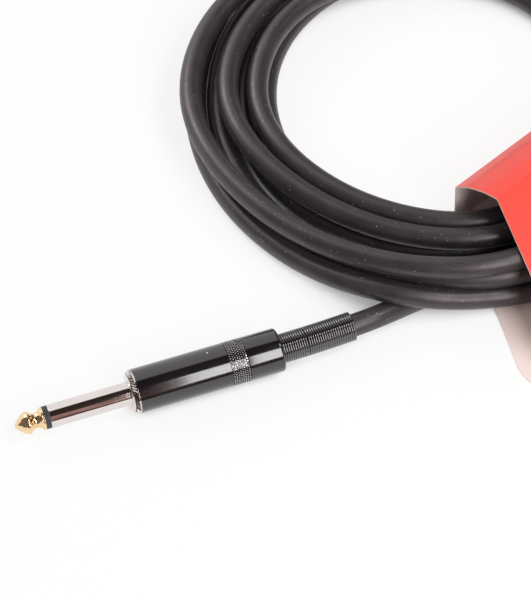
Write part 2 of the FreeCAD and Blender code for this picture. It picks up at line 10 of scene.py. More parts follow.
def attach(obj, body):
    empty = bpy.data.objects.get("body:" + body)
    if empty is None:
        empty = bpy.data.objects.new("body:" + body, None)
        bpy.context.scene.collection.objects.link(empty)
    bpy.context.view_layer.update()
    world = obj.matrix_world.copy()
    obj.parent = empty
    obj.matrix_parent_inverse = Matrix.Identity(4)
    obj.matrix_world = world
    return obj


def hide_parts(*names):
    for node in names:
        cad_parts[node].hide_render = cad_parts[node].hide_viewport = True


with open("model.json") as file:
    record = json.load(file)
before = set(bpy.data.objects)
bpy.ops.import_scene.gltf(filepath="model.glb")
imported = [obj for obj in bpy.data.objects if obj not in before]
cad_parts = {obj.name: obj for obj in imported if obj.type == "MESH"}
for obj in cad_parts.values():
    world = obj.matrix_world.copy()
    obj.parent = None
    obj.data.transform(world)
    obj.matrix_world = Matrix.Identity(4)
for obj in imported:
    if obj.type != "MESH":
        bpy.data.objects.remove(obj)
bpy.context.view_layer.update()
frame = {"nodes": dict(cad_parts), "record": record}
record = frame["record"]
mounts = {mount["name"]: mount for mount in record["mounts"]}
mm = 0.001
sides = ("a", "b")


# Camera, as the photograph was taken: from above and in front, with a long lens

cameraSet = {
    "target": (-34.4, -55.7, 0.0),   # mm, the middle of the picture on the table
    "elevation": 55.0,
    "distance": 750.0,
    "lens": 164.43,
}


def addObject(name, data):
    made = bpy.data.objects.new(name, data)
    bpy.context.collection.objects.link(made)
    return made


def makeCamera():
    data = bpy.data.cameras.new("camera")
    data.lens = cameraSet["lens"]
    data.sensor_width = 36.0
    data.clip_start, data.clip_end = 0.01, 20.0
    camera = addObject("camera", data)
    tilt = math.radians(cameraSet["elevation"])
    back = Vector((0, -math.cos(tilt), math.sin(tilt)))
    camera.location = (Vector(cameraSet["target"]) + back * cameraSet["distance"]) * mm
    camera.rotation_euler = (math.pi / 2 - tilt, 0, 0)
    bpy.context.scene.camera = camera


makeCamera()
print("camera ready")


# Plug places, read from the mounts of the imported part: every plug is drawn from its nose along X

plugSet = {
    "sleeveMiddle": 20.15,   # mm from the nose, where each plug's mount is
    "cordExit": 98.34,   # mm from the nose, where the free cord starts
    "bendFrom": 73.7,   # mm from the nose, where the spring begins to give
    "bendTo": 94.7,
    "bend": {"a": 0.65, "b": 0.0},   # mm aside at the spring's end
}


def plugMatrix(side):
    mount = mounts["plug_" + side + "_sleeve"]
    out = Vector(mount["axis"]).normalized()
    nose = Vector(mount["pos_m"]) + out * plugSet["sleeveMiddle"] * mm
    along = -out
    up = Vector((0, 0, 1))
    across = up.cross(along).normalized()
    turn = Matrix((along, across, up)).transposed().to_4x4()
    return Matrix.Translation(nose) @ turn


plugAt = {side: plugMatrix(side) for side in sides}


def plugPoint(side, x, y=0.0, z=0.0):
    return plugAt[side] @ (Vector((x, y, z)) * mm)


def bentAside(side, x):
    # How far the spring and the jacket lean aside, x mm from the nose
    run = (x - plugSet["bendFrom"]) / (plugSet["bendTo"] - plugSet["bendFrom"])
    return plugSet["bend"][side] * max(run, 0.0) ** 2


def bendMesh(mesh, side):
    # Leans a mesh that is still drawn along X
    for vertex in mesh.vertices:
        vertex.co.y += bentAside(side, vertex.co.x / mm) * mm


# Node helpers, for shaders and Geometry Nodes alike

def feed(tree, socket, value):
    # Sets a socket to a plain value, or links it to an output or to a node's first output
    if isinstance(value, bpy.types.Node):
        value = value.outputs[0]
    if isinstance(value, bpy.types.NodeSocket):
        tree.links.new(value, socket)
    else:
        socket.default_value = value


def addNode(tree, kind, fed=None, **settings):
    node = tree.nodes.new(kind)
    for key, value in settings.items():
        setattr(node, key, value)
    for key, value in (fed or {}).items():
        feed(tree, node.inputs[key], value)
    return node


def mathNode(tree, operation, *values, clamp=False):
    node = addNode(tree, "ShaderNodeMath", dict(enumerate(values)), operation=operation, use_clamp=clamp)
    return node.outputs[0]


def vectorNode(tree, operation, *values):
    return addNode(tree, "ShaderNodeVectorMath", dict(enumerate(values)), operation=operation)


def joined(tree, x=0.0, y=0.0, z=0.0):
    return addNode(tree, "ShaderNodeCombineXYZ", {"X": x, "Y": y, "Z": z})


def split(tree, vector):
    return addNode(tree, "ShaderNodeSeparateXYZ", {0: vector}).outputs


def smoothStep(tree, value, start, end):
    # From 0 at the start to 1 at the end
    return addNode(tree, "ShaderNodeMapRange", {"Value": value, "From Min": start, "From Max": end},
                   interpolation_type="SMOOTHSTEP").outputs["Result"]


def mixColour(tree, share, first, second):
    ends = [(*value, 1) if isinstance(value, tuple) else value for value in (first, second)]
    return addNode(tree, "ShaderNodeMix", {0: share, 6: ends[0], 7: ends[1]}, data_type="RGBA").outputs[2]


def newGroup(name, kind, inputs, outputs):
    # A node group, with the sockets of what it is given and of what it puts out
    group = bpy.data.node_groups.new(name, kind)
    for flow, sockets in (("INPUT", inputs), ("OUTPUT", outputs)):
        for label, form in sockets.items():
            group.interface.new_socket(label, in_out=flow, socket_type="NodeSocket" + form)
    return group, group.nodes.new("NodeGroupInput").outputs, group.nodes.new("NodeGroupOutput").inputs


# Shader groups that several materials share

def makeDustGroup():
    # Small light specks: the rare near points of a Voronoi field, of uneven size and strength
    group, given, result = newGroup("dustSpecks", "ShaderNodeTree", {
        "Vector": "Vector", "Scale": "Float", "Size": "Float", "Share": "Float"}, {"Mask": "Float"})
    cells = addNode(group, "ShaderNodeTexVoronoi", {"Vector": given["Vector"], "Scale": given["Scale"]})
    chance = addNode(group, "ShaderNodeSeparateColor", {"Color": cells.outputs["Color"]}).outputs
    chosen = mathNode(group, "LESS_THAN", chance["Red"], given["Share"])
    size = mathNode(group, "MULTIPLY", chance["Green"], given["Size"])
    near = mathNode(group, "LESS_THAN", cells.outputs["Distance"], size)
    speck = mathNode(group, "MULTIPLY", chosen, near)
    feed(group, result["Mask"], mathNode(group, "MULTIPLY", speck, chance["Blue"]))
    return group


def makeHandledGroup():
    # Uneven gloss, as handling leaves it: a slow noise round a middle roughness, and a fine one as relief
    finer = 14.0
    group, given, result = newGroup("handledGloss", "ShaderNodeTree", {
        "Vector": "Vector", "Scale": "Float", "Roughness": "Float", "Spread": "Float"},
        {"Roughness": "Float", "Height": "Float"})
    slow = addNode(group, "ShaderNodeTexNoise", {
        "Vector": given["Vector"], "Scale": given["Scale"], "Detail": 3.0, "Roughness": 0.6})
    fine = addNode(group, "ShaderNodeTexNoise", {
        "Vector": given["Vector"], "Scale": mathNode(group, "MULTIPLY", given["Scale"], finer),
        "Detail": 4.0, "Roughness": 0.7})
    middle = mathNode(group, "SUBTRACT", slow.outputs["Fac"], 0.5)
    feed(group, result["Roughness"],
         mathNode(group, "MULTIPLY_ADD", middle, given["Spread"], given["Roughness"]))
    feed(group, result["Height"], fine.outputs["Fac"])
    return group


dustGroup = makeDustGroup()
handledGroup = makeHandledGroup()


# Materials: two near colours in slow clouds, uneven gloss, a fine relief, the dust, and the painted highlight
# on the grip's points.
# gloss is the roughness and how far it strays

metalLook = {"clouds": 168.0, "marks": 240.0, "shader": {"Metallic": 1.0}}
plasticLook = {"clouds": 180.0, "marks": 300.0, "relief": 0.25, "shader": {"Specular IOR Level": 0.4}}
cardLook = {"clouds": 35.0, "marks": 420.0, "shader": {"Specular IOR Level": 0.35, "Coat Roughness": 0.38}}

lookSet = {
    "jacket": {
        "name": "jacketRubber", "colours": ((0.018, 0.014, 0.015), (0.031, 0.025, 0.027)),
        "clouds": 140.0, "marks": 260.0, "gloss": (0.40, 0.22), "relief": 0.35,
        "dust": {"colour": (0.80, 0.77, 0.77), "scale": 1300.0, "size": 0.15, "share": 0.7},
        "shader": {"Specular IOR Level": 0.8, "Specular Tint": (1.0, 0.91, 0.95, 1.0),
                   "Sheen Weight": 0.05, "Sheen Roughness": 0.5}},
    "barrel": {
        "name": "barrelEnamel", "colours": ((0.006, 0.004, 0.005), (0.011, 0.008, 0.009)),
        "clouds": 60.0, "marks": 130.0, "gloss": (0.13, 0.10), "relief": 0.22,
        "dust": {"colour": (0.85, 0.83, 0.83), "scale": 420.0, "size": 0.10, "share": 0.07},
        "shader": {"Specular IOR Level": 0.8, "Coat Weight": 0.5, "Coat Roughness": 0.05}},
    "grip": {
        "name": "gripEnamel", "colours": ((0.004, 0.003, 0.003), (0.010, 0.008, 0.008)),
        "clouds": 200.0, "marks": 300.0, "gloss": (0.16, 0.10), "relief": 0.1,
        # painted highlight: pale, partly metallic tops on the grip's points
        "bare": {"colour": (0.95, 0.90, 0.90), "peak": (0.70, 0.98), "metallic": 0.7},
        "shader": {"Specular IOR Level": 0.8}},
    "spring": {
        "name": "springSteel", "colours": ((0.005, 0.004, 0.004), (0.010, 0.008, 0.009)),
        "clouds": 220.0, "marks": 300.0, "gloss": (0.14, 0.06), "relief": 0.03,
        "shader": {"Specular IOR Level": 0.5, "IOR": 2.3}},
    "gold": {
        **metalLook, "name": "tipGold", "colours": ((0.86, 0.62, 0.34), (0.95, 0.74, 0.46)),
        "gloss": (0.10, 0.08), "relief": 0.25},
    "nickel": {
        **metalLook, "name": "plugNickel", "colours": ((0.74, 0.69, 0.67), (0.80, 0.75, 0.73)),
        "gloss": (0.08, 0.07), "relief": 0.2},
    # painted shade: dark metal for the shaded grooves between the collar's teeth
    "grooveShade": {
        **metalLook, "name": "collarGrooveShade", "colours": ((0.05, 0.036, 0.033), (0.10, 0.075, 0.068)),
        "gloss": (0.45, 0.15), "relief": 0.3},
    "copper": {
        **metalLook, "name": "strandCopper", "colours": ((0.72, 0.36, 0.22), (0.82, 0.46, 0.30)),
        "gloss": (0.28, 0.2), "relief": 0.5},
    "solder": {
        **metalLook, "name": "solderTin", "colours": ((0.55, 0.55, 0.56), (0.68, 0.68, 0.69)),
        "gloss": (0.3, 0.2), "relief": 0.4},
    "insulator": {
        **plasticLook, "name": "ringPlastic", "colours": ((0.030, 0.034, 0.042), (0.042, 0.047, 0.058)),
        "gloss": (0.5, 0.15)},
    "washer": {
        **plasticLook, "name": "washerPlastic", "colours": ((0.45, 0.43, 0.38), (0.55, 0.52, 0.46)),
        "gloss": (0.5, 0.15)},
    "core": {
        **plasticLook, "name": "corePlastic", "colours": ((0.62, 0.60, 0.55), (0.72, 0.70, 0.64)),
        "gloss": (0.4, 0.15)},
    "cardFront": {
        **cardLook, "name": "cardRed", "colours": ((0.88, 0.055, 0.035), (0.93, 0.070, 0.045)),
        "gloss": (0.30, 0.12), "relief": 0.12, "shader": {**cardLook["shader"], "Coat Weight": 0.7}},
    # the card's own pale back, tinted pink as painted red bounce light and made paler as painted light
    # against the shade under the roof
    "cardBackAndBounce": {
        **cardLook, "name": "cardGreyAndBounce", "colours": ((0.88, 0.70, 0.66), (0.93, 0.77, 0.73)),
        "gloss": (0.7, 0.12), "relief": 0.4},
    "cardEdge": {
        **cardLook, "name": "cardCut", "colours": ((0.97, 0.76, 0.64), (0.99, 0.84, 0.74)),
        "gloss": (0.8, 0.12), "relief": 0.5},
}


def clouded(tree, place, look):
    # A slow change between the look's two colours
    cloud = addNode(tree, "ShaderNodeTexNoise", {
        "Vector": place, "Scale": look["clouds"], "Detail": 4.0, "Roughness": 0.6})
    ramp = addNode(tree, "ShaderNodeValToRGB", {"Fac": cloud.outputs["Fac"]})
    for stop, at, colour in zip(ramp.color_ramp.elements, (0.3, 0.7), look["colours"]):
        stop.position = at
        stop.color = (*colour, 1)
    return ramp.outputs["Color"]


def dusted(tree, place, below, dust):
    specks = addNode(tree, "ShaderNodeGroup", {
        "Vector": place, "Scale": dust["scale"], "Size": dust["size"], "Share": dust["share"]},
        node_tree=dustGroup)
    return mixColour(tree, specks.outputs["Mask"], below, dust["colour"])


def paintedPeakHighlight(tree, shader, below, bare):
    # Painted highlight: a pale, partly metallic colour where the attribute that the grip's points carry nears
    # one
    peak = addNode(tree, "ShaderNodeAttribute", attribute_name="peak").outputs["Fac"]
    share = smoothStep(tree, peak, *bare["peak"])
    feed(tree, shader.inputs["Metallic"], mathNode(tree, "MULTIPLY", share, bare["metallic"]))
    return mixColour(tree, share, below, bare["colour"])


def makeLook(look):
    material = bpy.data.materials.new(look["name"])
    material.use_nodes = True
    tree = material.node_tree
    shader = tree.nodes["Principled BSDF"]
    for key, value in look["shader"].items():
        shader.inputs[key].default_value = value
    place = addNode(tree, "ShaderNodeTexCoord").outputs["Object"]
    roughness, spread = look["gloss"]
    handled = addNode(tree, "ShaderNodeGroup", {
        "Vector": place, "Scale": look["marks"], "Roughness": roughness, "Spread": spread},
        node_tree=handledGroup)
    feed(tree, shader.inputs["Roughness"], handled.outputs["Roughness"])
    feed(tree, shader.inputs["Normal"], addNode(tree, "ShaderNodeBump", {
        "Strength": look["relief"], "Distance": 0.02 * mm, "Height": handled.outputs["Height"]}))
    colour = clouded(tree, place, look)
    if "dust" in look:
        colour = dusted(tree, place, colour, look["dust"])
    if "bare" in look:
        colour = paintedPeakHighlight(tree, shader, colour, look["bare"])
    feed(tree, shader.inputs["Base Color"], colour)
    return material


looks = {name: makeLook(look) for name, look in lookSet.items()}
print("materials ready")


# Mesh helpers

def meshFrom(bm, name):
    mesh = bpy.data.meshes.new(name)
    bm.to_mesh(mesh)
    bm.free()
    return mesh


def linkPiece(name, mesh, materials):
    for material in materials:
        mesh.materials.append(material)
    return addObject(name, mesh)


def smoothMesh(mesh, angle=32.0):
    mesh.polygons.foreach_set("use_smooth", [True] * len(mesh.polygons))
    mesh.set_sharp_from_angle(angle=math.radians(angle))
    mesh.update()


def roundedLine(points, steps=6):
    # Rounds the corners of a line: each point is (x, y) or (x, y, radius)
    line = []
    for i, point in enumerate(points):
        radius = point[2] if len(point) > 2 else 0.0
        here = Vector(point[:2])
        if radius <= 0 or i in (0, len(points) - 1):
            line.append(here)
            continue
        toBefore = Vector(points[i - 1][:2]) - here
        toAfter = Vector(points[i + 1][:2]) - here
        half = toBefore.angle(toAfter) / 2
        most = 0.49 * min(toBefore.length, toAfter.length)
        reach = min(radius / math.tan(half), most)
        radius = reach * math.tan(half)
        back, on = toBefore.normalized(), toAfter.normalized()
        start, end = here + back * reach, here + on * reach
        centre = here + (back + on).normalized() * (radius / math.sin(half))
        for step in range(steps + 1):
            spot = start.lerp(end, step / steps) - centre
            line.append(centre + spot.normalized() * radius)
    return line


def lathe(name, outline, matrix, materials, segments=96, closed=False, angle=32.0, lean=None):
    # Turns an outline of (along, radius) in mm round the plug's axis
    bm = bmesh.new()
    rings = []
    for x, r in outline:
        if r < 1e-6:
            rings.append([bm.verts.new((x * mm, 0, 0))])
            continue
        ring = []
        for i in range(segments):
            turn = 2 * math.pi * i / segments
            ring.append(bm.verts.new((x * mm, r * mm * math.cos(turn), r * mm * math.sin(turn))))
        rings.append(ring)
    pairs = list(zip(rings, rings[1:]))
    if closed:
        pairs.append((rings[-1], rings[0]))
    for first, second in pairs:
        for i in range(segments):
            j = (i + 1) % segments
            if len(first) == 1:
                bm.faces.new((first[0], second[i], second[j]))
            elif len(second) == 1:
                bm.faces.new((first[i], second[0], first[j]))
            else:
                bm.faces.new((first[i], second[i], second[j], first[j]))
    bmesh.ops.recalc_face_normals(bm, faces=bm.faces)
    mesh = meshFrom(bm, name)
    if lean:
        bendMesh(mesh, lean)
    mesh.transform(matrix)
    smoothMesh(mesh, angle)
    return linkPiece(name, mesh, materials)


# Geometry Nodes helpers

def newTree(name, inputs):
    shape = {"Geometry": "Geometry"}
    return newGroup(name, "GeometryNodeTree", {**shape, **inputs, "Material": "Material"}, shape)


def finishTree(tree, geometry, given, result):
    real = addNode(tree, "GeometryNodeRealizeInstances", {"Geometry": geometry})
    feed(tree, result["Geometry"], addNode(tree, "GeometryNodeSetMaterial", {
        "Geometry": real, "Material": given["Material"]}))


def fromAxis(tree):
    # The way out from the plug's axis at each point
    place = split(tree, addNode(tree, "GeometryNodeInputPosition"))
    return joined(tree, 0.0, place["Y"], place["Z"])


def sizedShape(tree, shape, x, y, z):
    return addNode(tree, "GeometryNodeTransform", {"Geometry": shape, "Scale": joined(tree, x, y, z)})


def onPoints(tree, points, shape, rotation, turn):
    # A shape on each point, turned once more in its own frame
    spin = addNode(tree, "FunctionNodeRotateRotation", {"Rotation": rotation, "Rotate By": turn},
                   rotation_space="LOCAL")
    return addNode(tree, "GeometryNodeInstanceOnPoints", {
        "Points": points, "Instance": shape, "Rotation": spin})


def bakeTree(name, tree, values, matrix, angle=32.0, lean=None):
    # Runs a tree on a carrier, and turns what it makes into a plain mesh in its place
    carrier = addObject(name + "Carrier", bpy.data.meshes.new(name + "Carrier"))
    modifier = carrier.modifiers.new("made", "NODES")
    modifier.node_group = tree
    for item in tree.interface.items_tree:
        if item.in_out == "INPUT" and item.name in values:
            modifier[item.identifier] = values[item.name]
    bpy.context.view_layer.update()
    seen = carrier.evaluated_get(bpy.context.evaluated_depsgraph_get())
    mesh = bpy.data.meshes.new_from_object(seen)
    carrier.modifiers.clear()
    bpy.data.objects.remove(carrier)
    mesh.name = name
    if lean:
        bendMesh(mesh, lean)
    mesh.transform(matrix)
    smoothMesh(mesh, angle)
    return addObject(name, mesh)


# The cord: one spline from plug to plug, with the route's points in mm

cordSet = {
    "diameter": 6.2,
    "length": 2.83,   # m, between the two plugs' exits
    "centre": (14.8, 12.2),   # mm, the middle of the coil
    "low": 3.8,   # mm, height of the lower turns' middle
    "step": 6.65,
    "pitch": 7.0,
    "inner": 45.65,
    "perTurn": 36,   # points on each turn
    "startAngle": 300.0,
    "lowerTurns": 2.153,
    "upperTurns": 3.5,
    "endAngle": 60.0,
    "outer": (74.2, 73.2, 76.2, 77.6, 79.2),   # radius of the last turn by quarters, and at its end
    "hop": 8.3,   # how high it rises over the run to plug a
    "lead": 20.2,   # straight run into and out of the coil
    "exitLean": (1.38, 1.92),   # how far the two points at plug a lean aside, in spring bends
    "exitRuns": (4.0, 11.0),   # straight run behind each plug
    "firstStrand": 1080.0,   # degrees wound before the innermost strand of the photograph
    "nearRun": [(-13.0, -73.3, 4.3), (-5.8, -68.9, 3.4), (2.5, -65.6, 3.2)],
    "farRun": [(12.5, 81.6, 4.4)],
}

# Where each strand lies in the photograph: angle, radius and height of its middle, and the two
# angles between which it leaves the even winding and comes back to it
strandSet = [
    (95, [(140, 48.3, 10.2), (180, 51.6, 10.2), (195, 51.3, 10.1), (210, 49.9, 10.1), (225, 48.5, 10.1),
          (240, 47.8, 10.1), (250, 47.8, 10.1), (260, 48.1, 10.1), (270, 48.8, 10.1), (280, 49.5, 10.1),
          (290, 49.6, 10.2), (300, 49.0, 10.4)], 345),
    (95, [(140, 56.4, 10.7), (180, 60.2, 11.1), (195, 59.4, 11.2), (210, 57.2, 11.3), (225, 55.4, 11.3),
          (240, 54.6, 11.3), (250, 54.6, 11.3), (260, 54.9, 11.3), (270, 55.4, 11.3), (280, 56.0, 11.3),
          (290, 56.1, 11.2), (300, 55.9, 11.0)], 340),
    (105, [(135, 63.5, 10.6), (158, 68.2, 10.7), (180, 70.7, 10.7), (195, 70.2, 10.9), (210, 68.6, 11.7),
           (225, 68.0, 13.0), (240, 68.1, 14.3), (250, 68.3, 15.1), (260, 68.6, 15.9), (270, 68.9, 16.4),
           (280, 69.0, 16.5), (290, 67.6, 16.0), (300, 65.6, 15.0)], 350),
    (15, [(60, 65.6, 7.6), (85, 65.2, 5.0), (110, 64.6, 3.9), (140, 63.6, 3.7), (180, 62.9, 3.7),
          (195, 62.9, 3.7), (210, 63.0, 3.9), (225, 63.5, 5.0), (240, 64.9, 7.0), (250, 66.1, 8.6),
          (260, 67.2, 9.7), (270, 68.0, 10.2), (280, 68.6, 10.2), (290, 68.9, 10.1), (300, 69.0, 10.1)], 350),
    (110, [(150, 70.3, 4.2), (180, 69.4, 3.7), (195, 69.4, 3.7), (210, 69.6, 3.9), (225, 70.1, 4.8),
           (240, 71.5, 6.6), (250, 73.1, 9.1), (257, 73.8, 10.0), (264, 73.6, 9.3), (270, 72.7, 7.6),
           (280, 71.4, 5.0), (290, 71.6, 4.1), (300, 72.8, 3.9)], 355),
]


def coilSpot(x, y, z):
    return Vector((cordSet["centre"][0] + x, cordSet["centre"][1] + y, z))


def coilLegs():
    # Each leg: turns, radius and height at its end
    low, high = cordSet["low"], cordSet["low"] + cordSet["step"]
    inner, pitch = cordSet["inner"], cordSet["pitch"]
    widest, outer = inner + pitch * cordSet["upperTurns"], cordSet["outer"]
    return [
        (cordSet["lowerTurns"], inner, low),
        (0.25, inner - pitch / 4, (low + high) / 2),
        (0.25, inner, high),
        (cordSet["upperTurns"], widest, high),
        (0.25, outer[0], (low + high) / 2),
        (0.25, outer[1], low),
        (0.25, outer[2], low + cordSet["hop"]),
        (0.25, outer[3], low),
        (cordSet["endAngle"] / 360, outer[4], low),
    ]


def eased(share):
    return (1 - math.cos(math.pi * share)) / 2


def evenWinding(angle):
    # Radius and height of the even winding at an angle counted from its first turn
    start = cordSet["startAngle"]
    radius, height = cordSet["inner"] + cordSet["pitch"] * cordSet["lowerTurns"], cordSet["low"]
    for turns, endRadius, endHeight in coilLegs():
        if angle <= start + 360 * turns + 1e-6:
            share = (angle - start) / (360 * turns)
            mix = share if turns > 1 else eased(share)
            return radius + (endRadius - radius) * mix, height + (endHeight - height) * eased(share)
        start, radius, height = start + 360 * turns, endRadius, endHeight
    return radius, height


def smoothThrough(places, values, at):
    # A smooth line through a table of values, level at both ends
    i = max(k for k, place in enumerate(places[:-1]) if place <= at)
    slopes = [0.0] + [(values[k + 1] - values[k - 1]) / (places[k + 1] - places[k - 1])
                      for k in range(1, len(places) - 1)] + [0.0]
    span = places[i + 1] - places[i]
    t = (at - places[i]) / span
    return ((2 * t**3 - 3 * t**2 + 1) * values[i] + (t**3 - 2 * t**2 + t) * span * slopes[i]
            + (3 * t**2 - 2 * t**3) * values[i + 1] + (t**3 - t**2) * span * slopes[i + 1])


def strandShift(angle):
    # How far the photograph's strand lies from the even winding, outwards and up
    for turn, (leaves, rows, returns) in enumerate(strandSet):
        start = cordSet["firstStrand"] + 360 * turn
        if not start + leaves < angle < start + returns:
            continue
        places, outward, upward = [start + leaves], [0.0], [0.0]
        for degrees, radius, height in rows:
            evenRadius, evenHeight = evenWinding(start + degrees)
            places.append(start + degrees)
            outward.append(radius - evenRadius)
            upward.append(height - evenHeight)
        places, outward, upward = places + [start + returns], outward + [0.0], upward + [0.0]
        return smoothThrough(places, outward, angle), smoothThrough(places, upward, angle)
    return 0.0, 0.0


def coilPoints():
    swell = 1 / math.cos(math.pi / cordSet["perTurn"])   # a spline runs inside its control points
    angle = cordSet["startAngle"]
    points = []
    for turns, endRadius, endHeight in coilLegs():
        count = max(2, round(turns * cordSet["perTurn"]))
        for i in range(count):
            at = angle + 360 * turns * i / count
            radius, height = evenWinding(at)
            outward, upward = strandShift(at)
            reach, turned = (radius + outward) * swell, math.radians(at)
            points.append(coilSpot(reach * math.cos(turned), reach * math.sin(turned), height + upward))
        angle += 360 * turns
    radius, height = evenWinding(angle)
    turned = math.radians(angle)
    points.append(coilSpot(radius * math.cos(turned), radius * math.sin(turned), height))
    return points


def cordRoute():
    bend, exitAt = plugSet["bend"]["a"], plugSet["cordExit"]
    nearLean, farLean = cordSet["exitLean"]
    nearExit = [plugPoint("a", exitAt, nearLean * bend) / mm,
                plugPoint("a", exitAt + cordSet["exitRuns"][0], farLean * bend) / mm]
    farExit = [plugPoint("b", exitAt + cordSet["exitRuns"][1]) / mm, plugPoint("b", exitAt) / mm]
    turns = coilPoints()
    arriving = (turns[0] - turns[1]).normalized()
    leaving = (turns[-1] - turns[-2]).normalized()
    nearRun = [coilSpot(*spot) for spot in cordSet["nearRun"]] + [turns[0] + arriving * cordSet["lead"]]
    farRun = [turns[-1] + leaving * cordSet["lead"]] + [coilSpot(*spot) for spot in cordSet["farRun"]]
    return nearExit + nearRun + turns + farRun + farExit


def makeCord():
    points = cordRoute()
    curve = bpy.data.curves.new("cord", "CURVE")
    curve.dimensions = "3D"
    spline = curve.splines.new("NURBS")
    spline.points.add(len(points) - 1)
    for target, point in zip(spline.points, points):
        target.co = (*(point * mm), 1)
    spline.order_u = 3
    spline.use_endpoint_u = True
    spline.resolution_u = 4
    curve.bevel_depth = cordSet["diameter"] / 2 * mm
    curve.bevel_resolution = 12
    curve.use_fill_caps = True
    curve.materials.append(looks["jacket"])
    return addObject("cord", curve)


cord = makeCord()
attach(cord, "root")
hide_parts("cord_coil", "cord_run_a", "cord_run_b")
print("cord laid")


def paintBand(piece, side, start, end, radius):
    # Gives the second material to the faces between two places along a plug, outside a radius
    back = plugAt[side].inverted()
    for face in piece.data.polygons:
        spot = back @ face.center / mm
        if start < spot.x < end and math.hypot(spot.y, spot.z) > radius:
            face.material_index = 1


# Plug: gold tip

tipSet = {
    "outline": [(0.0, 0.0), (0.0, 0.42, 0.3), (0.95, 1.5, 3.0), (1.85, 2.38, 3.0), (2.9, 2.94, 1.5),
                (3.72, 3.22, 0.9), (4.75, 2.25, 1.0), (5.6, 1.97, 1.6), (6.5, 2.2, 1.6), (7.3, 3.05, 0.35),
                (7.52, 2.98, 0.08), (7.62, 3.14, 0.1), (7.9, 3.14, 0.1), (7.9, 1.3)],
    "segments": 80,
}


def makeTip(side):
    outline = roundedLine(tipSet["outline"], steps=7)
    tip = lathe("tip_" + side, outline, plugAt[side], [looks["gold"]], tipSet["segments"], angle=50)
    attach(tip, "root")
    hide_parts("tip_contact_" + side)
    return tip


# Plug: the dark ring behind the tip, and the long sleeve

sleeveSet = {
    "ringStart": 7.9, "ringEnd": 9.3, "ringRadius": 3.1, "ringBore": 1.1, "ringRounds": (0.08, 0.04),
    "bush": 2.2, "bushEnd": 37.0,
    "radius": 3.175, "bore": 2.45, "round": 0.12, "shoulder": 31.6, "tail": 2.9, "end": 37.3,
}


def makeSleeve(side):
    s = sleeveSet
    ring = lathe("ring_" + side, roundedLine([
        (s["ringStart"], s["ringBore"]), (s["ringStart"], s["ringRadius"], s["ringRounds"][0]),
        (s["ringEnd"], s["ringRadius"], s["ringRounds"][1]), (s["ringEnd"], s["bush"]),
        (s["bushEnd"], s["bush"]), (s["bushEnd"], s["ringBore"])], steps=4),
        plugAt[side], [looks["insulator"]], segments=72, closed=True)
    sleeve = lathe("sleeve_" + side, roundedLine([
        (s["ringEnd"], s["bore"]), (s["ringEnd"], s["radius"], s["round"]), (s["shoulder"], s["radius"]),
        (s["shoulder"], s["tail"]), (s["end"], s["tail"]), (s["end"], s["bore"])], steps=4),
        plugAt[side], [looks["nickel"]], closed=True)
    for piece, node, slot in ((ring, "tip_insulator_", "insulator"), (sleeve, "sleeve_contact_", "nickel")):
        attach(piece, "root")
        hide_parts(node + side)
    return sleeve


# Plug: collar with its ring of slanting teeth, and the thread behind it

collarSet = {
    "front": 31.5, "frontRadius": 4.75, "frontRound": 0.35, "rim": 32.75, "rimRadius": 5.80, "rimRound": 0.4,
    "rear": 33.28, "bore": 3.2,
    "thread": 5.3, "threadEnd": 37.3, "threadRound": 0.2, "turns": 5, "pitch": 0.75, "threadDepth": 0.22,
    "threadLead": 0.4,   # of a pitch, before the first ridge
    "shadeMargins": (0.01, 0.1), "shadeRadius": 4.5,   # painted shade: a dark metal colour on the cone between the teeth, where the grooves lie in shade
    "grooveFrom": 31.85, "teeth": 44, "toothAt": 32.5, "toothLength": 1.38, "toothWidth": 0.5,
    "toothHeight": 0.235, "toothSink": 0.06, "slant": -43.0,
    "lean": 0.8,   # how much of the rim's slope the teeth take on
}


def toothTree():
    # A ring of slanting ridges: points on a circle, each with a four-sided bar laid on the slope
    tree, given, result = newTree("collarTeeth", {
        "Count": "Int", "Along": "Float", "Radius": "Float", "Length": "Float", "Width": "Float",
        "Height": "Float", "Tilt": "Float", "Slant": "Float"})
    quarter = (0, math.pi / 2, 0)
    ring = addNode(tree, "GeometryNodeMeshCircle", {"Vertices": given["Count"], "Radius": given["Radius"]})
    upright = addNode(tree, "GeometryNodeTransform", {
        "Geometry": ring, "Rotation": quarter, "Translation": joined(tree, given["Along"])})
    bar = addNode(tree, "GeometryNodeMeshCylinder", {"Vertices": 4, "Radius": 0.5, "Depth": 1.0})
    turned = addNode(tree, "GeometryNodeTransform", {"Geometry": bar, "Rotation": quarter})
    tooth = sizedShape(tree, turned, given["Length"], given["Width"], given["Height"])
    back = joined(tree, mathNode(tree, "MULTIPLY", given["Tilt"], -1.0))
    slope = vectorNode(tree, "ADD", vectorNode(tree, "NORMALIZE", fromAxis(tree)), back)
    face = addNode(tree, "FunctionNodeAlignRotationToVector", {"Vector": slope}, axis="Z")
    along = addNode(tree, "FunctionNodeAlignRotationToVector", {"Rotation": face, "Vector": (1, 0, 0)},
                    axis="X", pivot_axis="Z")
    slant = addNode(tree, "FunctionNodeAxisAngleToRotation", {"Axis": (0, 0, 1), "Angle": given["Slant"]})
    finishTree(tree, onPoints(tree, upright, tooth, along, slant), given, result)
    return tree


collarTeeth = toothTree()


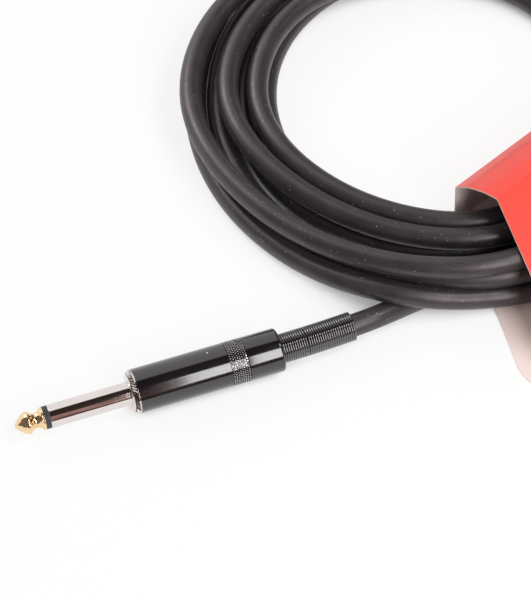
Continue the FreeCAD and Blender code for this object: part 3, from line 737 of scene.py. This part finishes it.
def makeCollar(side):
    c = collarSet
    slope = (c["rimRadius"] - c["frontRadius"]) / (c["rim"] - c["front"])
    ridges = []
    for turn in range(c["turns"]):
        place = c["rear"] + (turn + c["threadLead"]) * c["pitch"]
        ridges += [(place, c["thread"]), (place + c["pitch"] / 2, c["thread"] - c["threadDepth"])]
    outline = roundedLine([
        (c["front"], c["bore"]), (c["front"], c["frontRadius"], c["frontRound"]),
        (c["grooveFrom"], c["frontRadius"] + (c["grooveFrom"] - c["front"]) * slope),
        (c["rim"], c["rimRadius"], c["rimRound"]), (c["rear"], c["rimRadius"]), (c["rear"], c["thread"]),
        *ridges, (c["threadEnd"], c["thread"], c["threadRound"]), (c["threadEnd"], c["bore"])], steps=5)
    collar = lathe("collar_" + side, outline, plugAt[side], [looks["nickel"], looks["grooveShade"]], closed=True)
    # Painted shade: the cone between the teeth takes the dark groove material
    before, past = c["shadeMargins"]
    paintBand(collar, side, c["grooveFrom"] - before, c["rim"] + past, c["shadeRadius"])
    teeth = bakeTree("collar_teeth_" + side, collarTeeth, {
        "Count": c["teeth"], "Along": c["toothAt"] * mm,
        "Radius": (c["frontRadius"] + (c["toothAt"] - c["front"]) * slope - c["toothSink"]) * mm,
        "Length": c["toothLength"] * mm, "Width": c["toothWidth"] * mm,
        "Height": 2 * c["toothHeight"] * mm, "Tilt": slope * c["lean"],
        "Slant": math.radians(c["slant"]), "Material": looks["nickel"]}, plugAt[side], angle=20)
    for piece in (collar, teeth):
        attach(piece, "root")
    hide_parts("threaded_body_" + side)
    return collar


# Plug: barrel with its knurled band

barrelSet = {
    "front": 33.3, "rear": 73.7, "radius": 6.05, "bore": 5.37, "hole": 4.35, "wall": 2.4,
    "frontRound": 0.15, "rearRound": 0.75, "holeRound": 0.2,
    "bandFrom": 58.9, "bandTo": 63.8, "bandDepth": 0.2, "bandSlope": 0.12, "bandRounds": (0.05, 0.03),
    "columns": 52, "rows": 8, "point": 0.52, "pointTop": 0.24, "pointFoot": 0.66, "pointHeight": 0.155,
    "pointLift": 0.02, "jitter": 0.16, "seed": 7,
}


def gripTree():
    # Staggered rows of small four-sided points on a band round the barrel, marked from foot to peak
    tree, given, result = newTree("gripBand", {
        "Columns": "Int", "Rows": "Int", "From": "Float", "To": "Float", "Radius": "Float",
        "Size": "Float", "Height": "Float", "Jitter": "Float", "Seed": "Int"})
    calc = partial(mathNode, tree)
    points = addNode(tree, "GeometryNodePoints", {
        "Count": calc("MULTIPLY", given["Columns"], given["Rows"])})
    index = addNode(tree, "GeometryNodeInputIndex")
    row = calc("FLOOR", calc("DIVIDE", index, given["Columns"]))
    column = calc("SUBTRACT", index, calc("MULTIPLY", row, given["Columns"]))
    stagger = calc("MULTIPLY", calc("MODULO", row, 2.0), 0.5)
    turn = calc("DIVIDE", calc("ADD", column, stagger), given["Columns"])
    angle = calc("MULTIPLY", turn, 2 * math.pi)
    span = calc("SUBTRACT", given["To"], given["From"])
    share = calc("DIVIDE", calc("ADD", row, 0.5), given["Rows"])
    feed(tree, points.inputs["Position"], joined(
        tree, calc("MULTIPLY_ADD", span, share, given["From"]),
        calc("MULTIPLY", calc("COSINE", angle), given["Radius"]),
        calc("MULTIPLY", calc("SINE", angle), given["Radius"])))
    cone = addNode(tree, "GeometryNodeMeshCone", {
        "Vertices": 4, "Radius Top": barrelSet["pointTop"], "Radius Bottom": barrelSet["pointFoot"],
        "Depth": 1.0})
    height = split(tree, addNode(tree, "GeometryNodeInputPosition"))["Z"]
    marked = addNode(tree, "GeometryNodeStoreNamedAttribute", {
        "Geometry": cone, "Name": "peak", "Value": height}, data_type="FLOAT", domain="POINT")
    shape = sizedShape(tree, marked, given["Size"], given["Size"], given["Height"])
    face = addNode(tree, "FunctionNodeAlignRotationToVector", {"Vector": fromAxis(tree)}, axis="Z")
    chance = addNode(tree, "FunctionNodeRandomValue", {
        "Min": (-1, -1, -1), "Max": (1, 1, 1), "Seed": given["Seed"]}, data_type="FLOAT_VECTOR")
    lean = vectorNode(tree, "SCALE", chance)
    feed(tree, lean.inputs["Scale"], given["Jitter"])
    turned = addNode(tree, "FunctionNodeEulerToRotation", {"Euler": lean})
    finishTree(tree, onPoints(tree, points, shape, face, turned), given, result)
    return tree


gripBand = gripTree()


def makeBarrel(side):
    b = barrelSet
    low = b["radius"] - b["bandDepth"]
    lip, foot = b["bandRounds"]
    outline = roundedLine([
        (b["front"], b["bore"]), (b["front"], b["radius"], b["frontRound"]),
        (b["bandFrom"] - b["bandSlope"], b["radius"], lip), (b["bandFrom"], low, foot),
        (b["bandTo"], low, foot), (b["bandTo"] + b["bandSlope"], b["radius"], lip),
        (b["rear"], b["radius"], b["rearRound"]), (b["rear"], b["hole"], b["holeRound"]),
        (b["rear"] - b["wall"], b["hole"]), (b["rear"] - b["wall"], b["bore"])], steps=7)
    barrel = lathe("barrel_shell_" + side, outline, plugAt[side], [looks["barrel"]], segments=128,
                   closed=True)
    grip = bakeTree("barrel_grip_" + side, gripBand, {
        "Columns": b["columns"], "Rows": b["rows"], "From": b["bandFrom"] * mm, "To": b["bandTo"] * mm,
        "Radius": (low + b["pointLift"]) * mm, "Size": b["point"] * mm, "Height": b["pointHeight"] * mm,
        "Jitter": b["jitter"], "Seed": b["seed"], "Material": looks["grip"]}, plugAt[side],
        angle=20)
    for piece in (barrel, grip):
        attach(piece, "barrel_body_" + side)
    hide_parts("barrel_" + side)
    return barrel


# Plug: relief spring, close wound

springSet = {
    "start": 70.3, "end": 94.6, "turns": 38.0, "perTurn": 48, "radius": 3.88, "wire": 0.62, "flat": 0.5,
    "flange": 0.95, "flangeTurns": 0.6, "jogAt": 81.0, "jogSize": 0.09, "jogWidth": 0.25,
}


def springTree():
    # A line of points wound round X, its first turn wider, with a small jog part way along
    tree, given, result = newTree("reliefSpring", {
        "Start": "Float", "Length": "Float", "Turns": "Float", "Points Per Turn": "Int", "Radius": "Float",
        "Wire": "Float", "Flange": "Float", "Flange Turns": "Float", "Jog At": "Float", "Jog Size": "Float",
        "Jog Width": "Float", "Flat": "Float"})
    calc = partial(mathNode, tree)
    total = calc("MULTIPLY", given["Turns"], given["Points Per Turn"])
    line = addNode(tree, "GeometryNodeMeshLine", {"Count": calc("ADD", total, 1.0)})
    index = addNode(tree, "GeometryNodeInputIndex")
    turned = calc("DIVIDE", index, given["Points Per Turn"])
    angle = calc("MULTIPLY", turned, 2 * math.pi)
    cosine, sine = calc("COSINE", angle), calc("SINE", angle)
    share = calc("DIVIDE", index, total)
    along = calc("MULTIPLY_ADD", share, given["Length"], given["Start"])
    past = calc("DIVIDE", calc("SUBTRACT", along, given["Jog At"]), given["Jog Width"])
    jog = calc("MULTIPLY", calc("TANH", past), given["Jog Size"])
    wide = calc("SUBTRACT", 1.0, calc("DIVIDE", turned, given["Flange Turns"]))
    extra = calc("MULTIPLY", calc("MAXIMUM", wide, 0.0), given["Flange"])
    reach = calc("ADD", given["Radius"], extra)
    wound = addNode(tree, "GeometryNodeSetPosition", {"Geometry": line, "Position": joined(
        tree, calc("ADD", along, jog), calc("MULTIPLY", cosine, reach),
        calc("MULTIPLY", sine, reach))})
    curve = addNode(tree, "GeometryNodeMeshToCurve", {"Mesh": wound})
    faced = addNode(tree, "GeometryNodeSetCurveNormal", {
        "Curve": curve, "Normal": joined(tree, 0.0, cosine, sine)}, mode="FREE")
    section = addNode(tree, "GeometryNodeCurvePrimitiveCircle", {
        "Resolution": 10, "Radius": calc("DIVIDE", given["Wire"], 2.0)})
    swept = addNode(tree, "GeometryNodeCurveToMesh", {
        "Curve": faced, "Profile Curve": sizedShape(tree, section, given["Flat"], 1.0, 1.0),
        "Fill Caps": True})
    finishTree(tree, swept, given, result)
    return tree


reliefSpring = springTree()


def makeSpring(side):
    s = springSet
    spring = bakeTree("spring_" + side, reliefSpring, {
        "Start": s["start"] * mm, "Length": (s["end"] - s["start"]) * mm, "Turns": s["turns"],
        "Points Per Turn": s["perTurn"], "Radius": s["radius"] * mm, "Wire": s["wire"] * mm,
        "Flange": s["flange"] * mm, "Flange Turns": s["flangeTurns"], "Jog At": s["jogAt"] * mm,
        "Jog Size": s["jogSize"] * mm, "Jog Width": s["jogWidth"] * mm, "Flat": s["flat"],
        "Material": looks["spring"]}, plugAt[side], angle=60, lean=side)
    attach(spring, "spring_body_" + side)
    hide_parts("relief_spring_" + side)
    return spring


# Plug: the jacket inside the spring, which ends just past the cord's exit

jacketSet = {"start": 57.0, "past": 0.4, "draw": 0.03, "rings": 12}


def makeJacketEnd(side):
    radius, start, end = cordSet["diameter"] / 2, jacketSet["start"], plugSet["cordExit"]
    rings, past = jacketSet["rings"], end + jacketSet["past"]
    outline = [(start, 0)] + [(start + (end - start) * i / rings, radius) for i in range(rings + 1)]
    outline += [(past, radius - jacketSet["draw"]), (past, 0)]
    jacket = lathe("jacket_" + side, outline, plugAt[side], [looks["jacket"]], segments=64, lean=side)
    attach(jacket, "root")
    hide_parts("jacket_end_" + side)
    return jacket


for side in sides:
    tip = makeTip(side)
    sleeve = makeSleeve(side)
    collar = makeCollar(side)
    barrel = makeBarrel(side)
    spring = makeSpring(side)
    farPieces = [makeJacketEnd(side), spring, barrel, collar, sleeve, tip]   # in the end, plug b's
print("plugs made")


# CAD nodes that keep their shape and get a finish

nodeLooks = {
    "centre_rod": "nickel", "ground_lug": "nickel", "rear_washer": "washer", "tip_lug": "nickel",
    "insulating_liner": "washer", "inner_conductor": "core", "conductor_strands": "copper",
    "shield_tail": "copper", "tip_solder": "solder", "ground_solder": "solder",
}
for name, look in nodeLooks.items():
    for side in sides:
        slots = frame["nodes"][name + "_" + side].data.materials
        slots.clear()
        slots.append(looks[look])
print("inner pieces finished")


# Card sleeve: a folded sheet with a red front, a pale back whose pink tint and paleness are partly painted
# bounce light, and pale cut edges

cardSet = {
    "corner": (17.6, -29.9), "yaw": 42.0, "length": 52.0, "sheet": 0.4, "fold": 0.7,
    "wall": 17.3, "wallLean": 0.8, "wallReach": 1.0,
    "bow": [(4.5, 21.0, 12.0), (9.3, 23.2, 12.0)], "ridge": (14.0, 24.2),
    "knee": (40.0, 17.6), "bend": (53.0, 8.2), "lip": (63.0, 0.8),
    # how far the near end reaches: distance across the card, and place along it
    "roofEnd": [(0, 0.0), (14.0, 1.5), (20.0, -0.4), (27.0, -3.1), (40.0, -8.4), (53.0, -13.5),
                (66.5, -18.3)],
    "baseEnd": [(0, 0.0), (6.0, 0.0), (12.9, -3.4), (27.8, -11.1), (46.8, -20.6), (49.0, -21.2),
                (66.5, -21.6)],
    "steps": 24, "baseSteps": 30,
    "lipRun": 3.0, "lipRound": 0.2, "roofRound": 30.0, "ridgeRound": 2.5, "baseShort": 1.0,
}


def cardOutline():
    # Across and height of the sheet's middle, from the lip over the ridge to the wall, and back under
    c, half, fold = cardSet, cardSet["sheet"] / 2, cardSet["fold"]
    roof = roundedLine([
        (c["lip"][0] + c["lipRun"], half * 2.2), (c["lip"][0], half * 3, c["lipRound"]),
        (c["bend"][0] - half, c["bend"][1] - half, c["roofRound"]),
        (c["knee"][0] - half, c["knee"][1] - half, c["roofRound"]),
        (c["ridge"][0], c["ridge"][1] - half, c["ridgeRound"])]
        + [(across, height - half, radius) for across, height, radius in reversed(c["bow"])]
        + [(half, c["wall"] - half, fold), (half, half, fold), (fold * 2, half)], steps=8)
    start, steps = fold * 2, c["baseSteps"]
    run = c["lip"][0] - c["baseShort"] - start
    return roof, [Vector((start + run * (i + 1) / steps, half)) for i in range(steps)]


def tableValue(table, at):
    # A straight line between the rows of a table
    for (x0, y0), (x1, y1) in zip(table, table[1:]):
        if at <= x1:
            return y0 + (y1 - y0) * (at - x0) / (x1 - x0)
    return table[-1][1]


def makeCard():
    roof, base = cardOutline()
    turn = Matrix.Rotation(math.radians(cardSet["yaw"]), 4, "Z")
    place = Matrix.Translation((cardSet["corner"][0] * mm, cardSet["corner"][1] * mm, 0)) @ turn
    bm = bmesh.new()
    rows = []
    for points, end in ((roof, "roofEnd"), (base, "baseEnd")):
        for across, height in points:
            start = tableValue(cardSet[end], max(0.0, across))
            if across < cardSet["wallReach"]:
                start += cardSet["wallLean"] * max(0.0, 1 - height / cardSet["wall"])
            row = []
            for i in range(cardSet["steps"] + 1):
                x = start + (cardSet["length"] - start) * i / cardSet["steps"]
                row.append(bm.verts.new((x * mm, -across * mm, height * mm)))
            rows.append(row)
    for first, second in zip(rows, rows[1:]):
        for i in range(len(first) - 1):
            bm.faces.new((first[i], first[i + 1], second[i + 1], second[i]))
    bmesh.ops.recalc_face_normals(bm, faces=bm.faces)
    bmesh.ops.transform(bm, matrix=place, verts=bm.verts)
    card = linkPiece("card", meshFrom(bm, "card"), [looks["cardFront"], looks["cardBackAndBounce"], looks["cardEdge"]])
    wall = card.modifiers.new("wall", "SOLIDIFY")
    wall.thickness = cardSet["sheet"] * mm
    wall.offset = 0.0
    wall.material_offset = 1
    wall.material_offset_rim = 2
    solid = card.evaluated_get(bpy.context.evaluated_depsgraph_get())
    card.data = bpy.data.meshes.new_from_object(solid)
    card.modifiers.clear()
    smoothMesh(card.data, angle=40)
    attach(card, "root")
    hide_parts("card_sleeve")


makeCard()
print("card folded")


# Floor, light and background

studioSet = {
    "floor": (0.90, 0.90, 0.90), "floorHalf": 4.0, "floorRoughness": 0.9,
    "floorDrop": 0.2,   # mm below the part
    "floorWhite": 0.82,   # how far the open floor goes to white where it is looked at
    "gap": (0.12, 0.42),   # openness between which the floor's white glow comes in: painted shade, dark in gaps and white in the open
    "gapReach": 0.02,
    "pale": (1.0, 0.985, 0.975),   # the surround near the horizon
    "dark": (0.035, 0.022, 0.018),   # the ceiling, beyond a share of its direction
    "ceiling": (0.211, -0.162, 0.964), "ceilingFrom": (0.85, 0.895),
    "warm": (0.44, 0.25, 0.23),   # the room in front, behind the camera
    "roomFrom": (-0.44, -0.62), "clutterScale": 9.0, "clutter": (0.35, 0.6),
    "foot": (0.06, 0.025, 0.02),   # its foot, above the table's edge
    "footTo": (0.10, 0.22),
    "aside": (0.17, 0.14, 0.13),   # to the near plug's left and right the room is dim
    "along": (0.943, 0.332, 0.0),   # the near plug's direction
    "left": (-0.15, -0.35), "leftHigh": (0.2, 0.35), "right": (0.27, 0.38), "rightHigh": (0.08, 0.2),
    "level": (0.52, 0.51, 0.505),   # what the surround gives to matte surfaces
}


def mixShaders(tree, share, first, second, output):
    feed(tree, tree.nodes[output].inputs[0], addNode(tree, "ShaderNodeMixShader", {
        0: share, 1: first, 2: second}))


def mirrored(tree, path):
    # 1 for the rays that see a surface or the world by way of metal or glass
    return mathNode(tree, "ADD", path["Is Glossy Ray"], path["Is Transmission Ray"], clamp=True)


def makeFloor():
    bm = bmesh.new()
    bmesh.ops.create_grid(bm, x_segments=1, y_segments=1, size=studioSet["floorHalf"])
    material = bpy.data.materials.new("tableWhite")
    material.use_nodes = True
    floor = linkPiece("floor", meshFrom(bm, "floor"), [material])
    floor.location = (0, 0, -studioSet["floorDrop"] * mm)
    tree = material.node_tree
    shader = tree.nodes["Principled BSDF"]
    shader.inputs["Base Color"].default_value = (*studioSet["floor"], 1)
    shader.inputs["Roughness"].default_value = studioSet["floorRoughness"]
    path = addNode(tree, "ShaderNodeLightPath").outputs
    seen = mathNode(tree, "ADD", path["Is Camera Ray"], mirrored(tree, path), clamp=True)
    # Painted shade: ambient occlusion takes the white glow away where the part hems the floor in, so gaps and
    # the ground beside the part go dark
    openness = addNode(tree, "ShaderNodeAmbientOcclusion", {"Distance": studioSet["gapReach"]}, samples=8)
    free = smoothStep(tree, openness.outputs["AO"], *studioSet["gap"])
    share = mathNode(tree, "MULTIPLY", seen, mathNode(tree, "MULTIPLY", free, studioSet["floorWhite"]))
    mixShaders(tree, share, shader, addNode(tree, "ShaderNodeEmission", {"Strength": 1.0}), "Material Output")


def makeWorld():
    # A pale surround with a dark ceiling and a warm, dim room in front, and white where it is seen
    s = studioSet
    world = bpy.data.worlds.new("studio")
    world.use_nodes = True
    tree = world.node_tree
    step, mix = partial(smoothStep, tree), partial(mixColour, tree)
    toward = addNode(tree, "ShaderNodeTexCoord").outputs["Generated"]
    place = split(tree, toward)
    up = vectorNode(tree, "DOT_PRODUCT", toward, s["ceiling"]).outputs["Value"]
    along = vectorNode(tree, "DOT_PRODUCT", toward, s["along"]).outputs["Value"]
    high = mathNode(tree, "SUBTRACT", place["Z"], place["Y"])
    clutter = addNode(tree, "ShaderNodeTexNoise", {
        "Vector": toward, "Scale": s["clutterScale"], "Detail": 3.0}).outputs["Fac"]
    room = mix(step(clutter, *s["clutter"]), s["foot"], s["warm"])
    room = mix(step(place["Z"], *s["footTo"]), s["foot"], room)
    around = mix(step(place["Y"], *s["roomFrom"]), s["pale"], room)
    for way, height, level in (("left", high, "leftHigh"), ("right", place["Z"], "rightHigh")):
        share = mathNode(tree, "MULTIPLY", step(along, *s[way]), step(height, *s[level]))
        around = mix(share, around, s["aside"])
    around = mix(step(up, *s["ceilingFrom"]), around, s["dark"])
    path = addNode(tree, "ShaderNodeLightPath").outputs
    surround = tree.nodes["Background"]
    feed(tree, surround.inputs["Color"], mix(mirrored(tree, path), s["level"], around))
    white = addNode(tree, "ShaderNodeBackground", {"Color": (1, 1, 1, 1), "Strength": 1.0})
    mixShaders(tree, path["Is Camera Ray"], surround, white, "World Output")
    bpy.context.scene.world = world


lampSet = {
    # place and facing in mm, size in mm, power in watts, and the share of the width over which it fades
    "softbox": {"place": (523.0, -761.5, 704.0), "faces": (247.0, 21.5, 6.0), "size": (355.0, 877.0),
                "power": 7.1, "fade": 0.1},
    "top": {"place": (471.0, -90.0, 853.0), "faces": (-60.0, -86.0, 6.0), "size": (300.0, 200.0),
            "power": 1.9, "fade": 0.0},
    "leftBack": {"place": (-740.0, 560.0, 700.0), "faces": (-20.0, -10.0, 5.0), "size": (450.0, 450.0),
                 "power": 3.4, "fade": 0.0},
}
lampYaw = 19.4   # degrees: their width lies along the near plug


def makeLamps():
    yaw = math.radians(lampYaw)
    along = Vector((math.cos(yaw), math.sin(yaw), 0))
    for name, lampAt in lampSet.items():
        data = bpy.data.lights.new(name, "AREA")
        data.shape = "RECTANGLE"
        data.size, data.size_y = lampAt["size"][0] * mm, lampAt["size"][1] * mm
        data.energy = lampAt["power"]
        if lampAt["fade"]:
            data.use_nodes = True
            tree = data.node_tree
            spot = addNode(tree, "ShaderNodeNewGeometry").outputs["Parametric"]
            feed(tree, tree.nodes["Emission"].inputs["Strength"],
                 smoothStep(tree, split(tree, spot)["X"], 0.0, lampAt["fade"]))
        lamp = addObject(name, data)
        place = Vector(lampAt["place"])
        back = (place - Vector(lampAt["faces"])).normalized()
        across = back.cross(along).normalized()
        turn = Matrix((across.cross(back), across, back)).transposed().to_4x4()
        lamp.matrix_world = Matrix.Translation(place * mm) @ turn


makeFloor()
makeWorld()
makeLamps()
bpy.context.scene.view_settings.view_transform = "Standard"
print("studio lit")
